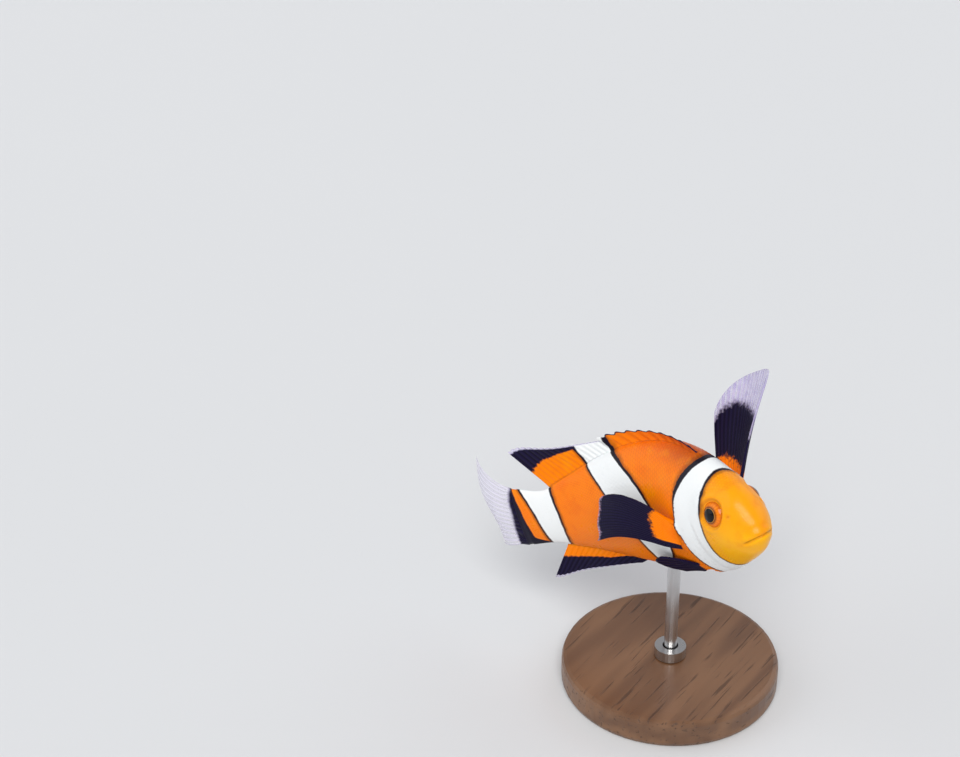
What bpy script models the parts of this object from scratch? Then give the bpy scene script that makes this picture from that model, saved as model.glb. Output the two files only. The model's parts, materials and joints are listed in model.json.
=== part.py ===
import math

import bmesh
import bpy
import numpy as np

# A clownfish, life size, as a still display model on one rod and a round base.
# Metres, +Z up, the middle of the body heading along +X.
# The origin is the centre of the base's underside, under the rod.

STANDARD_LENGTH = 0.068  # from the snout to the root of the tail fin
GAP = 0.0003  # left between neighbouring pieces

# The pose. Angles are radians.
HEAD_TURN = 0.47  # the head turns to the fish's right
HEAD_BEND = (0.26, 0.55)  # the stretch of the body that bends for it
TAIL_TURN = -0.10  # the tail stalk swings a little the same way
TAIL_BEND = (0.50, 0.97)
TAIL_FIN_CURL = 1.05  # the tail fin sweeps to the fish's left
TAIL_FIN_BEND = (0.97, 1.24)
NOSE_UP = 0.374
POSE_CENTRE = 0.45  # this place on the axis stands over the base
POSE_HEIGHT = 0.042
POSE_AHEAD = -0.001

# Places are shares of the standard length, counted from the snout.
# Each station is its place, the back's height, the belly's depth and half the width.
BODY_STATIONS = (
    (0.00, 0.000, 0.000, 0.000),
    (0.02, 0.059, 0.041, 0.037),
    (0.06, 0.111, 0.071, 0.066),
    (0.12, 0.151, 0.106, 0.084),
    (0.20, 0.188, 0.148, 0.092),
    (0.30, 0.212, 0.172, 0.098),
    (0.42, 0.219, 0.185, 0.096),
    (0.55, 0.203, 0.180, 0.080),
    (0.68, 0.159, 0.152, 0.055),
    (0.80, 0.104, 0.124, 0.034),
    (0.90, 0.066, 0.109, 0.021),
    (1.00, 0.079, 0.113, 0.012),
)
FLANK_PINCH = 0.10  # how much the section thins towards the back and the belly
RING_POINTS = 36
HEAD_RINGS = 18
TRUNK_RINGS = 22
STALK_RINGS = 9
SNOUT_CROWDING = 1.6  # draws the rings together at the snout, where the head curves most
SNOUT_CUT = 0.0008  # the first ring is this far back, and a flat cap closes it

GILL_EDGE = 0.262  # where the gill cover ends at the back and the throat
GILL_BULGE = 0.036  # how much further back it reaches at mid height
CAP_DEPTH = 1.15  # how far back the middle of its cut face lies, as a share of the bulge
STALK_START = 0.80

FIN_THICKNESS = 0.0006
FIN_CLEARANCE = 0.00035  # from the body to the root of a fin

SPINY_FIN = {"start": 0.230, "end": 0.588, "rake": (0.95, 1.02), "spines": 10, "dip": 0.10}
SPINY_HEIGHTS = (0.018, 0.032, 0.050, 0.064, 0.070)
SOFT_FIN = {"start": 0.598, "end": 0.862, "rake": (1.02, 0.73), "length": (0.050, 0.194)}
SOFT_RISE = 1.3  # the rays lengthen faster towards the tail
ANAL_FIN = {"start": 0.594, "end": 0.862, "rake": (1.15, 0.65), "length": (0.036, 0.166)}
TAIL_FIN = {"length": (0.190, 0.235), "spread": (-0.18, 0.46), "base": (-0.105, 0.073)}
TIP_ROUNDING = 0.16

PECTORAL_BASE = {"place": (0.300, 0.326), "up": (0.016, -0.066)}
PECTORAL_TAPER = 0.04  # how much shorter the lowest ray is
PECTORAL_FINS = {
    # "out" and "up" are angles of the upper and the lower edge: out from the flank, and up.
    # "bow" is how far the middle of a ray bulges backward, away from the flank and upward.
    # "fanning" below 1 spreads the rays apart sooner, near the root.
    # "rounding" is how much shorter than the middle ray the upper and the lower ray are.
    "pectoral_fin_right": {
        "side": -1,
        "out": (0.273, 0.478),
        "up": (0.385, 0.097),
        "length": 0.276,
        "rounding": (0.185, -0.057),
        "bow": (0.0, 0.016, 0.037),
        "fanning": 0.728,
    },
    "pectoral_fin_left": {
        "side": 1,
        "out": (2.200, 0.676),
        "up": (1.073, 0.968),
        "length": 0.392,
        "rounding": (0.16, 0.16),
        "bow": (0.037, 0.016, 0.0),
        "fanning": 0.616,
    },
}
PELVIC_FIN = {"place": 0.309, "turn": -1.05, "length": 0.198, "out": 0.07, "drop": 0.05}
PELVIC_WIDTH = (0.026, 0.094)  # across the root and across the tips of the rays
PELVIC_TILT = 0.95  # of the fin's sheet, up towards its outer edge
PELVIC_INNER = 0.3  # the share of the fin's width on the inner side of its root

EYE = {"place": 0.125, "up": 0.074, "radius": 0.040, "flatness": 0.70, "inset": 0.0232}

BASE_RADIUS = 0.022
BASE_HEIGHT = 0.006
BASE_BEVEL = 0.0010
ROD_RADIUS = 0.0013
ROD_DEPTH = 0.006  # how far the rod goes into the belly
COLLAR_RADIUS = 0.0032
COLLAR_HEIGHT = 0.0022


def smooth_step(low, high, value):
    share = np.clip((value - low) / (high - low), 0.0, 1.0)
    return share * share * (3.0 - 2.0 * share)


def between(pair, share):
    return pair[0] + (pair[1] - pair[0]) * share


def body_size(column, place):
    """Back height, belly depth or half width at a place, on a smooth curve."""
    stations = np.array(BODY_STATIONS)
    knots = np.sqrt(stations[:, 0])
    values = stations[:, column]
    slopes = np.gradient(values, knots)
    at = np.sqrt(np.clip(place, 0.0, 1.0))
    index = np.clip(np.searchsorted(knots, at) - 1, 0, len(knots) - 2)
    width = knots[index + 1] - knots[index]
    t = (at - knots[index]) / width
    start = (1 + 2 * t) * (1 - t) ** 2 * values[index] + t * (1 - t) ** 2 * width * slopes[index]
    end = t * t * (3 - 2 * t) * values[index + 1] - t * t * (1 - t) * width * slopes[index + 1]
    return start + end


def back(place):
    return body_size(1, place)


def belly(place):
    return -body_size(2, place)


def flank(place, turn):
    """Sideways and upward place of the skin at an angle round the body: 0 is left."""
    top = back(place)
    bottom = belly(place)
    pinch = 1.0 - FLANK_PINCH * np.sin(turn) ** 2
    side = body_size(3, place) * np.cos(turn) * pinch
    return side, (top + bottom) / 2 + (top - bottom) / 2 * np.sin(turn)


def skin_side(place, up):
    """How far out the skin is at a place and a height."""
    middle = (back(place) + belly(place)) / 2
    turn = math.asin((up - middle) / ((back(place) - belly(place)) / 2))
    return float(flank(place, turn)[0])


def heading(place):
    """How far the body's axis is turned to the right at a place."""
    head = HEAD_TURN * (1.0 - smooth_step(*HEAD_BEND, place))
    tail = TAIL_TURN * smooth_step(*TAIL_BEND, place)
    return head + tail + TAIL_FIN_CURL * smooth_step(*TAIL_FIN_BEND, place)


def make_axis():
    """Points along the bent axis, from ahead of the snout to behind the tail fin."""
    places = np.linspace(-0.1, 1.5, 801)
    turns = heading(places)
    step = places[1] - places[0]
    ahead = -np.cumsum(np.cos(turns)) * step
    left = np.cumsum(np.sin(turns)) * step
    ahead -= np.interp(POSE_CENTRE, places, ahead)
    left -= np.interp(POSE_CENTRE, places, left)
    return places, ahead, left


AXIS_PLACES, AXIS_AHEAD, AXIS_LEFT = make_axis()


def bent(place, side, up):
    """A point of the straight fish, moved with the bend of the body."""
    turn = heading(place)
    ahead = np.interp(place, AXIS_PLACES, AXIS_AHEAD) + side * np.sin(turn)
    left = np.interp(place, AXIS_PLACES, AXIS_LEFT) + side * np.cos(turn)
    return ahead, left, up


def offset(place, point, backward, side, up):
    """A stiff piece's point, measured from its root in the direction of the body there."""
    turn = heading(place)
    ahead = point[0] - backward * np.cos(turn) + side * np.sin(turn)
    left = point[1] + backward * np.sin(turn) + side * np.cos(turn)
    return ahead, left, point[2] + up


def world(point):
    """Pitch the bent fish nose up and set it over the base, in metres."""
    ahead, left, up = point
    x = ahead * math.cos(NOSE_UP) - up * math.sin(NOSE_UP)
    z = ahead * math.sin(NOSE_UP) + up * math.cos(NOSE_UP)
    return (
        POSE_AHEAD + STANDARD_LENGTH * float(x),
        STANDARD_LENGTH * float(left),
        POSE_HEIGHT + STANDARD_LENGTH * float(z),
    )


def clear_scene():
    for item in list(bpy.data.objects):
        bpy.data.objects.remove(item, do_unlink=True)
    for name in ("clownfish", "cutters"):
        bpy.context.scene.collection.children.link(bpy.data.collections.new(name))


def make_material(name, color, roughness, metallic=0.0):
    material = bpy.data.materials.new(name)
    material.use_nodes = True
    shader = material.node_tree.nodes["Principled BSDF"]
    shader.inputs["Base Color"].default_value = (*color, 1.0)
    shader.inputs["Roughness"].default_value = roughness
    shader.inputs["Metallic"].default_value = metallic
    material.diffuse_color = (*color, 1.0)
    return material


def add_object(name, mesh_data, material, collection="clownfish"):
    mesh = bpy.data.meshes.new(name)
    mesh_data.normal_update()
    bmesh.ops.recalc_face_normals(mesh_data, faces=mesh_data.faces)
    mesh_data.to_mesh(mesh)
    mesh_data.free()
    item = bpy.data.objects.new(name, mesh)
    bpy.data.collections[collection].objects.link(item)
    if material:
        mesh.materials.append(material)
        mesh.shade_smooth()
        mesh.set_sharp_from_angle(angle=math.radians(40))
    return item


def cut(item, cutter):
    cutter.hide_render = True
    cutter.display_type = "WIRE"
    boolean = item.modifiers.new("cut by " + cutter.name, "BOOLEAN")
    boolean.operation = "DIFFERENCE"
    boolean.object = cutter


def gill_edge(turn):
    return GILL_EDGE + GILL_BULGE * np.cos(turn) ** 2


def loft(name, material, edges, rings, crowding=1.0):
    """A length of the body between two edges, each a function of the angle round the body."""
    mesh_data = bmesh.new()
    turns = [2 * math.pi * i / RING_POINTS for i in range(RING_POINTS)]
    loops = []
    for share in np.linspace(0.0, 1.0, rings) ** crowding:
        loop = []
        for turn in turns:
            place = between((edges[0](turn), edges[1](turn)), share)
            loop.append(mesh_data.verts.new(world(bent(place, *flank(place, turn)))))
        loops.append(loop)
    for first, second in zip(loops, loops[1:]):
        for i in range(RING_POINTS):
            j = (i + 1) % RING_POINTS
            mesh_data.faces.new((first[i], first[j], second[j], second[i]))
    for loop, edge in ((loops[0], edges[0]), (loops[-1], edges[1])):
        place = between((edge(math.pi / 2), edge(0.0)), CAP_DEPTH)
        centre = mesh_data.verts.new(world(bent(place, 0.0, (back(place) + belly(place)) / 2)))
        for i in range(RING_POINTS):
            mesh_data.faces.new((loop[i], loop[(i + 1) % RING_POINTS], centre))
    return add_object(name, mesh_data, material)


def make_body(material):
    gap = GAP / STANDARD_LENGTH

    def snout(turn):
        return SNOUT_CUT

    def trunk_start(turn):
        return gill_edge(turn) + gap

    def trunk_end(turn):
        return STALK_START

    def stalk_start(turn):
        return STALK_START + gap

    def stalk_end(turn):
        return 1.0

    head = loft("head", material, (snout, gill_edge), HEAD_RINGS, SNOUT_CROWDING)
    trunk = loft("trunk", material, (trunk_start, trunk_end), TRUNK_RINGS)
    loft("tail_stalk", material, (stalk_start, stalk_end), STALK_RINGS)
    return head, trunk


def make_ball(name, side, growth, material, collection):
    """An eyeball, flatter than a sphere, in the side of the head; growth makes its socket."""
    mesh_data = bmesh.new()
    bmesh.ops.create_uvsphere(mesh_data, u_segments=16, v_segments=10, radius=1.0)
    radius = EYE["radius"] + growth
    depth = EYE["radius"] * EYE["flatness"] + growth
    centre = skin_side(EYE["place"], EYE["up"]) - EYE["inset"]
    for vertex in mesh_data.verts:
        x, y, z = vertex.co
        place = EYE["place"] + radius * x
        vertex.co = world(bent(place, side * (centre + depth * z), EYE["up"] + radius * y))
    return add_object(name, mesh_data, material, collection)


def make_eyes(head, material):
    for name, side in (("left", 1), ("right", -1)):
        make_ball("eye_" + name, side, 0.0, material, "clownfish")
        socket = make_ball("socket_" + name, side, GAP / STANDARD_LENGTH, None, "cutters")
        cut(head, socket)


def make_fin(name, material, point, columns, rows):
    """A fin as a thin sheet: its point's first number runs along the root, the other outwards."""
    mesh_data = bmesh.new()
    bmesh.ops.create_grid(mesh_data, x_segments=columns, y_segments=rows, size=0.5)
    for vertex in mesh_data.verts:
        vertex.co = world(point(vertex.co.x + 0.5, vertex.co.y + 0.5))
    fin = add_object(name, mesh_data, material)
    wall = fin.modifiers.new("membrane", "SOLIDIFY")
    wall.thickness = FIN_THICKNESS
    wall.offset = 0.0
    return fin


def rounded(share, amount):
    """Shortens the first and the last ray, so that a fin's corners are round."""
    return 1.0 - amount * abs(2.0 * share - 1.0) ** 4


def middle_fin_point(fin, ray_length, edge, direction):
    """A point of a fin that stands on the back or hangs from the belly."""
    clearance = FIN_CLEARANCE / STANDARD_LENGTH

    def point(along, out):
        place = between((fin["start"], fin["end"]), along)
        rake = between(fin["rake"], along)
        reach = ray_length(along) * out
        up = edge(place) + direction * (clearance + reach * math.cos(rake))
        return bent(place + reach * math.sin(rake), 0.0, up)

    return point


def spiny_length(along):
    """Length of the spines, with the membrane dipping between them."""
    heights = np.interp(along, np.linspace(0.0, 1.0, len(SPINY_HEIGHTS)), SPINY_HEIGHTS)
    return heights * (1.0 - SPINY_FIN["dip"] * math.sin(math.pi * SPINY_FIN["spines"] * along) ** 2)


def soft_length(along):
    return between(SOFT_FIN["length"], along**SOFT_RISE) * rounded(max(along, 0.5), TIP_ROUNDING)


def anal_length(along):
    return between(ANAL_FIN["length"], along) * rounded(max(along, 0.5), TIP_ROUNDING)


def make_middle_fins(material):
    spiny = middle_fin_point(SPINY_FIN, spiny_length, back, 1)
    make_fin("dorsal_fin_spiny", material, spiny, 4 * SPINY_FIN["spines"], 2)
    soft = middle_fin_point(SOFT_FIN, soft_length, back, 1)
    make_fin("dorsal_fin_soft", material, soft, 16, 7)
    anal = middle_fin_point(ANAL_FIN, anal_length, belly, -1)
    make_fin("anal_fin", material, anal, 16, 6)


def make_tail_fin(material):
    clearance = FIN_CLEARANCE / STANDARD_LENGTH

    def point(along, out):
        angle = between(TAIL_FIN["spread"], along)
        reach = between(TAIL_FIN["length"], along) * rounded(along, TIP_ROUNDING) * out
        up = between(TAIL_FIN["base"], along) + reach * math.sin(angle)
        return bent(1.0 + clearance + reach * math.cos(angle), 0.0, up)

    make_fin("tail_fin", material, point, 14, 10)


def pectoral_ray(fin, along):
    """A whole ray of a pectoral fin: how far it goes backward, out and up."""
    angle = between(fin["out"], along)
    lift = between(fin["up"], along)
    corner = fin["rounding"][0 if along < 0.5 else 1]
    length = fin["length"] * rounded(along, corner) * (1.0 - PECTORAL_TAPER * along)
    level = length * math.cos(lift)
    return np.array((level * math.cos(angle), level * math.sin(angle), length * math.sin(lift)))


def make_pectoral_fins(material):
    clearance = (FIN_CLEARANCE + FIN_THICKNESS) / STANDARD_LENGTH
    for name, fin in PECTORAL_FINS.items():

        def point(along, out, fin=fin):
            place = between(PECTORAL_BASE["place"], along)
            up = between(PECTORAL_BASE["up"], along)
            root = bent(place, fin["side"] * (skin_side(place, up) + clearance), up)
            middle = pectoral_ray(fin, 0.5)
            spread = (pectoral_ray(fin, along) - middle) * out ** fin["fanning"]
            bow = np.array(fin["bow"]) * math.sin(math.pi * out)
            backward, outward, upward = middle * out + spread + bow
            return offset(PECTORAL_BASE["place"][0], root, backward, fin["side"] * outward, upward)

        make_fin(name, material, point, 12, 10)


def make_pelvic_fins(material):
    fin = PELVIC_FIN
    clearance = 2.0 * FIN_CLEARANCE / STANDARD_LENGTH
    root_side, root_up = flank(fin["place"], fin["turn"])
    for name, side in (("left", 1), ("right", -1)):

        def point(along, out, side=side):
            reach = fin["length"] * rounded(along, 2.0 * TIP_ROUNDING) * out
            across = between(PELVIC_WIDTH, out) * (along - PELVIC_INNER)
            sideways = root_side + across * math.cos(PELVIC_TILT) + reach * fin["out"]
            up = root_up - clearance + across * math.sin(PELVIC_TILT) - reach * fin["drop"]
            return bent(fin["place"] + reach, side * sideways, up)

        make_fin("pelvic_fin_" + name, material, point, 6, 8)


def cylinder(name, radius, bottom, height, material, collection="clownfish", segments=32):
    mesh_data = bmesh.new()
    bmesh.ops.create_cone(
        mesh_data, cap_ends=True, segments=segments, radius1=radius, radius2=radius, depth=height
    )
    bmesh.ops.translate(mesh_data, verts=mesh_data.verts, vec=(0.0, 0.0, bottom + height / 2))
    return add_object(name, mesh_data, material, collection)


def rod_top():
    """The rod ends inside the belly, straight above the middle of the base."""
    lowest = POSE_HEIGHT + STANDARD_LENGTH * float(belly(POSE_CENTRE)) * math.cos(NOSE_UP)
    return lowest + ROD_DEPTH


def make_stand(trunk, wood, steel):
    base = cylinder("stand_base", BASE_RADIUS, 0.0, BASE_HEIGHT, wood, segments=56)
    bevel = base.modifiers.new("round edge", "BEVEL")
    bevel.width = BASE_BEVEL
    bevel.segments = 2
    bevel.limit_method = "ANGLE"
    bottom = BASE_HEIGHT + GAP
    collar = cylinder("stand_collar", COLLAR_RADIUS, bottom, COLLAR_HEIGHT, steel)
    cylinder("stand_rod", ROD_RADIUS, bottom, rod_top() - bottom, steel, segments=24)
    cut(collar, cylinder("collar_bore", ROD_RADIUS + GAP, 0.0, 2 * rod_top(), None, "cutters"))
    socket_top = rod_top() + GAP
    cut(trunk, cylinder("belly_socket", ROD_RADIUS + GAP, 0.0, socket_top, None, "cutters", 24))


def main():
    clear_scene()
    skin = make_material("orange skin", (0.90, 0.27, 0.01), 0.45)
    membrane = make_material("dark fin", (0.02, 0.02, 0.03), 0.5)
    eye = make_material("eye", (0.03, 0.02, 0.02), 0.12)
    wood = make_material("walnut", (0.16, 0.08, 0.04), 0.4)
    steel = make_material("brushed steel", (0.6, 0.6, 0.6), 0.3, 1.0)
    head, trunk = make_body(skin)
    make_eyes(head, eye)
    make_middle_fins(membrane)
    make_tail_fin(membrane)
    make_pectoral_fins(membrane)
    make_pelvic_fins(membrane)
    make_stand(trunk, wood, steel)


main()
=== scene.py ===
import json
import math
from types import SimpleNamespace
import bpy
import numpy as np
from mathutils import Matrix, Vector

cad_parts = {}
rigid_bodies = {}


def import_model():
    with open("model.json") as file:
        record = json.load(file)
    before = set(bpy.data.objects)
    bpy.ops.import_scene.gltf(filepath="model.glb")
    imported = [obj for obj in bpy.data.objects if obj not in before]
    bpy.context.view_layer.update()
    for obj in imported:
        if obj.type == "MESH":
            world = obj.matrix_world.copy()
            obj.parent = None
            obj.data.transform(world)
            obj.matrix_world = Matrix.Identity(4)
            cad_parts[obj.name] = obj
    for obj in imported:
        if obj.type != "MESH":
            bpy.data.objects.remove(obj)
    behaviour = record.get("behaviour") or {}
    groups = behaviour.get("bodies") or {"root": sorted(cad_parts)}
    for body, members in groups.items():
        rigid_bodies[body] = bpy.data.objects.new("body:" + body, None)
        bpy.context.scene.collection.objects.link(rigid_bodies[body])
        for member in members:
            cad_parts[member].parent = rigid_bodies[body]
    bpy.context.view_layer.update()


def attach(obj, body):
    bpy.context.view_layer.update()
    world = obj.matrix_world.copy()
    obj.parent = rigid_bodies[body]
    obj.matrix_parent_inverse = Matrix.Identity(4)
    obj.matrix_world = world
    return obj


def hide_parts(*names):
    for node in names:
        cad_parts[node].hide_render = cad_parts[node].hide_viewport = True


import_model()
print("frame loaded")

# Lengths on the fish are shares of its standard length, places are counted from the snout, and angles
# are in radians.
pose = {
    "standardLength": 0.068,  # metres, snout to the root of the tail fin
    "headTurn": 0.47,  # to the fish's right
    "headBend": (0.26, 0.55),
    "tailTurn": -0.1,
    "tailBend": (0.5, 0.97),
    "tailFinCurl": 1.05,
    "tailFinBend": (0.97, 1.24),
    "noseUp": 0.374,
    "centre": 0.45,  # the place that the fish is pitched about
    "height": 0.042,  # metres
    "ahead": -0.001,
}
body = {
    "flankPinch": 0.1,
    # place, height of the back, depth of the belly, half the width
    "stations": (
        (0.00, 0.000, 0.000, 0.000),
        (0.02, 0.059, 0.041, 0.037),
        (0.06, 0.111, 0.071, 0.066),
        (0.12, 0.151, 0.106, 0.084),
        (0.20, 0.188, 0.148, 0.092),
        (0.30, 0.212, 0.172, 0.098),
        (0.42, 0.219, 0.185, 0.096),
        (0.55, 0.203, 0.180, 0.080),
        (0.68, 0.159, 0.152, 0.055),
        (0.80, 0.104, 0.124, 0.034),
        (0.90, 0.066, 0.109, 0.021),
        (1.00, 0.079, 0.113, 0.012),
    ),
}


def smooth(low, high, value):
    share = np.clip((value - low) / (high - low), 0, 1)
    return share * share * (3 - 2 * share)


def between(pair, share):
    return pair[0] + (pair[1] - pair[0]) * share


def bump(value, centre, width):
    return np.exp(-(((value - centre) / width) ** 2))


def vectors(*columns):
    return np.stack(np.broadcast_arrays(*columns), axis=-1)


def bodySize(column, place):
    # one column of the stations, on a smooth curve through them
    stations = np.array(body["stations"])
    knots = np.sqrt(stations[:, 0])
    values = stations[:, column]
    slopes = np.gradient(values, knots)
    at = np.sqrt(np.clip(place, 0, 1))
    index = np.clip(np.searchsorted(knots, at) - 1, 0, len(knots) - 2)
    width = knots[index + 1] - knots[index]
    t = (at - knots[index]) / width
    start = (1 + 2 * t) * (1 - t) ** 2 * values[index] + t * (1 - t) ** 2 * width * slopes[index]
    end = t * t * (3 - 2 * t) * values[index + 1] - t * t * (1 - t) * width * slopes[index + 1]
    return start + end


def flank(place, turn):
    # how far out and up the plain body is; the turn is -pi/2 at the belly and pi/2 at the back
    top = bodySize(1, place)
    bottom = -bodySize(2, place)
    side = bodySize(3, place) * np.cos(turn) * (1 - body["flankPinch"] * np.sin(turn) ** 2)
    return side, (top + bottom) / 2 + (top - bottom) / 2 * np.sin(turn)


def turnAt(place, up):
    top = bodySize(1, place)
    bottom = -bodySize(2, place)
    return np.arcsin(np.clip((up - (top + bottom) / 2) / ((top - bottom) / 2), -1, 1))


def heading(place):
    turn = pose["headTurn"] * (1 - smooth(*pose["headBend"], place))
    turn = turn + pose["tailTurn"] * smooth(*pose["tailBend"], place)
    return turn + pose["tailFinCurl"] * smooth(*pose["tailFinBend"], place)


def makeAxis():
    places = np.linspace(-0.1, 1.5, 801)
    turns = heading(places)
    step = places[1] - places[0]
    ahead = -np.cumsum(np.cos(turns)) * step
    left = np.cumsum(np.sin(turns)) * step
    ahead -= np.interp(pose["centre"], places, ahead)
    left -= np.interp(pose["centre"], places, left)
    return places, ahead, left


axisPlaces, axisAhead, axisLeft = makeAxis()


def bent(place, side, up):
    # a point of the straight fish, on the bent one
    turn = heading(place)
    ahead = np.interp(place, axisPlaces, axisAhead) + side * np.sin(turn)
    left = np.interp(place, axisPlaces, axisLeft) + side * np.cos(turn)
    return vectors(ahead, left, up)


def offset(place, point, backward, side, up):
    # a point moved in the directions that the bent fish has at this place
    turn = heading(place)
    ahead = point[..., 0] - backward * np.cos(turn) + side * np.sin(turn)
    left = point[..., 1] + backward * np.sin(turn) + side * np.cos(turn)
    return vectors(ahead, left, point[..., 2] + up)


def toFrame(points):
    cosine = math.cos(pose["noseUp"])
    sine = math.sin(pose["noseUp"])
    size = pose["standardLength"]
    x = pose["ahead"] + size * (points[..., 0] * cosine - points[..., 2] * sine)
    z = pose["height"] + size * (points[..., 0] * sine + points[..., 2] * cosine)
    return vectors(x, size * points[..., 1], z)


# The folds of the head are heights over the plain body. Pairs are where a fold starts and is full, as the
# sine of the turn for "top" and "foot", and otherwise as the distance behind its edge.
gill = {
    "edge": 0.262, "bulge": 0.036, "lift": 0.0075, "step": 0.0034, "top": (0.85, 0.35),
    "foot": (-1, -0.93), "rise": (-0.08, -0.01), "fall": (0.0045, 0), "drop": (0, 0.005),
    "level": (0.04, 0.008),
    # where the painted shade in the gill cover's crease lies
    "creaseShade": (0.0055, 0.0045),  # its middle and its width
}
cheek = {
    "edge": 0.196, "bulge": 0.03, "lean": 0.35, "groove": 0.0022, "top": (0.2, -0.05),
    "foot": (-0.98, -0.8), "fold": (-0.014, 0.009),
}
mouth = {
    "up": 0.006, "slope": -0.42, "end": 0.034, "depth": 0.0046, "slit": 0.0034, "lipHeight": 0.0019,
    "lipWidth": 0.0075, "lipOffset": 0.0105, "dent": 0.0012, "behindLips": (0.02, 0.006),
}
nostril = {"place": 0.066, "up": 0.072, "radius": 0.0042, "depth": 0.0045, "rim": 0.0012}
eye = {
    "place": 0.125, "up": 0.074, "radius": 0.0405, "flatness": 0.7, "inset": 0.0245,
    "socketDepth": 0.009, "rimHeight": 0.002, "rimRadius": 0.0465, "rimWidth": 0.006,
    "browHeight": 0.0026, "brow": (0.018, 0.012), "iris": 0.0345, "pupil": 0.0195, "corneaRise": 0.003,
}

# Pairs are the fin's first and last ray. "thin" is half the membrane's thickness, and "flesh" and "ridge"
# are what its root and its rays add.
pectoralFin = {
    "place": (0.3, 0.326), "up": (0.016, -0.066), "taper": 0.04, "clearance": 0.014, "rays": 18,
    "thin": 0.0014, "flesh": 0.0056, "fleshReach": 0.14, "ridge": 0.0018, "ridgeFade": 0.5,
    "sharp": 1.4, "branched": 1,
    "columns": (5, 4),  # of the skin's net
    "rootLayers": 3,
    "facing": (1, 0),  # ahead and up, besides sideways
}
# "out" and "up" are the edge rays' angles, "rounding" is how much shorter they are, "bow" is how far the
# middle of a ray bulges backward, outward and upward, and "fanning" below 1 spreads the rays sooner.
pectoralSides = {
    -1: {
        "out": (0.273, 0.478), "up": (0.385, 0.097), "length": 0.276, "rounding": (0.185, -0.057),
        "bow": (0, 0.016, 0.037), "fanning": 0.728,
    },
    1: {
        "out": (2.2, 0.676), "up": (1.073, 0.968), "length": 0.392, "rounding": (0.16, 0.16),
        "bow": (0.037, 0.016, 0), "fanning": 0.616,
    },
}
pelvicFin = {
    "place": 0.309, "turn": -1.05, "length": 0.198, "pointed": (0.34, 0.75), "out": 0.07, "drop": 0.05,
    "width": (0.026, 0.094), "tilt": 0.95, "inner": 0.3, "clearance": 0.01, "rays": 5, "thin": 0.0018,
    "flesh": 0.003, "fleshReach": 0.1, "ridge": 0.0022, "ridgeFade": 0.6, "sharp": 1.2, "branched": 0,
    "columns": (2, 3), "rootLayers": 2, "facing": (0, -1),
}
# The paired fins grow from the rings from "low" to "high", and each stands on a small pad.
finRoots = {
    "low": 0.3055, "high": 0.3155, "middle": 0.31055, "half": 0.0045, "padHeight": 0.0085,
    "padWidth": 0.0135,
}


def gillEdge(turn):
    return gill["edge"] + gill["bulge"] * np.cos(turn) ** 2


def onSide(fold, sine):
    return smooth(*fold["top"], sine) * smooth(*fold["foot"], sine)


def fromEye(place, up):
    return np.hypot(place - eye["place"], up - eye["up"])


def headFolds(place, turn):
    # heights over the plain body, and how deep in a crease each spot lies, which the markings use as painted
    # shade
    up = flank(place, turn)[1]
    sine = np.sin(turn)
    covered = onSide(gill, sine)
    past = place - gillEdge(turn)
    swell = smooth(*gill["rise"], past) * smooth(*gill["fall"], past)
    dip = smooth(*gill["drop"], past) * smooth(*gill["level"], past)
    height = covered * (gill["lift"] * swell - gill["step"] * dip)
    creaseShade = covered * bump(past, *gill["creaseShade"])

    covered = onSide(cheek, sine)
    past = place - cheek["edge"] - cheek["bulge"] * np.cos(turn + cheek["lean"]) ** 2
    height += covered * cheek["groove"] * (0.6 * bump(past, *cheek["fold"]) - bump(past, 0, 0.0055))
    creaseShade += 0.35 * covered * bump(past, 0, 0.004)

    away = up - mouth["up"] - mouth["slope"] * place
    fromLip = np.abs(away) - mouth["lipOffset"]
    past = place - mouth["end"]
    lips = mouth["lipHeight"] * bump(fromLip, 0, mouth["lipWidth"])
    lips -= mouth["dent"] * bump(fromLip, *mouth["behindLips"])
    gape = bump(away, 0, mouth["slit"]) * smooth(0.004, -0.004, past)
    height += lips * smooth(0.012, -0.006, past) - mouth["depth"] * gape
    creaseShade += 0.6 * gape

    away = np.hypot(place - nostril["place"], up - nostril["up"])
    hole = bump(away, 0, nostril["radius"])
    height += nostril["rim"] * bump(away, 2 * nostril["radius"], nostril["radius"]) - nostril["depth"] * hole
    creaseShade += 0.6 * hole

    past = fromEye(place, up) - eye["rimRadius"]
    height += eye["rimHeight"] * bump(past, 0, eye["rimWidth"])
    height -= eye["socketDepth"] * smooth(0, -0.012, past)
    height += eye["browHeight"] * bump(past, *eye["brow"]) * smooth(0, 0.03, up - eye["up"])
    creaseShade += 0.4 * bump(past, -0.006, 0.003)

    for away in fromRoots(place, up):
        height += finRoots["padHeight"] * bump(away, 0, finRoots["padWidth"])
    return height, np.clip(creaseShade, 0, 1)


def fromRoots(place, up):
    # how far a spot on the flank is from the root of the pectoral fin, and from that of the pelvic fin
    high, low = pectoralFin["up"]
    along = np.clip((high - up) / (high - low), 0, 1)
    pectoral = np.hypot(place - between(pectoralFin["place"], along), up - between(pectoralFin["up"], along))
    pelvicPlace = pelvicFin["place"] + 0.002
    pelvicUp = flank(np.float64(pelvicPlace), pelvicFin["turn"])[1]
    return pectoral, np.hypot(0.75 * (place - pelvicPlace), up - pelvicUp)


def scaleCover(place, turn):
    # 1 where the scales are full size, 0 on the bare snout, lips and eye
    bare = smooth(0.085, 0.15, place + 0.02 * np.sin(turn))
    return bare * smooth(0.05, 0.068, fromEye(place, flank(place, turn)[1]))


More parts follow.
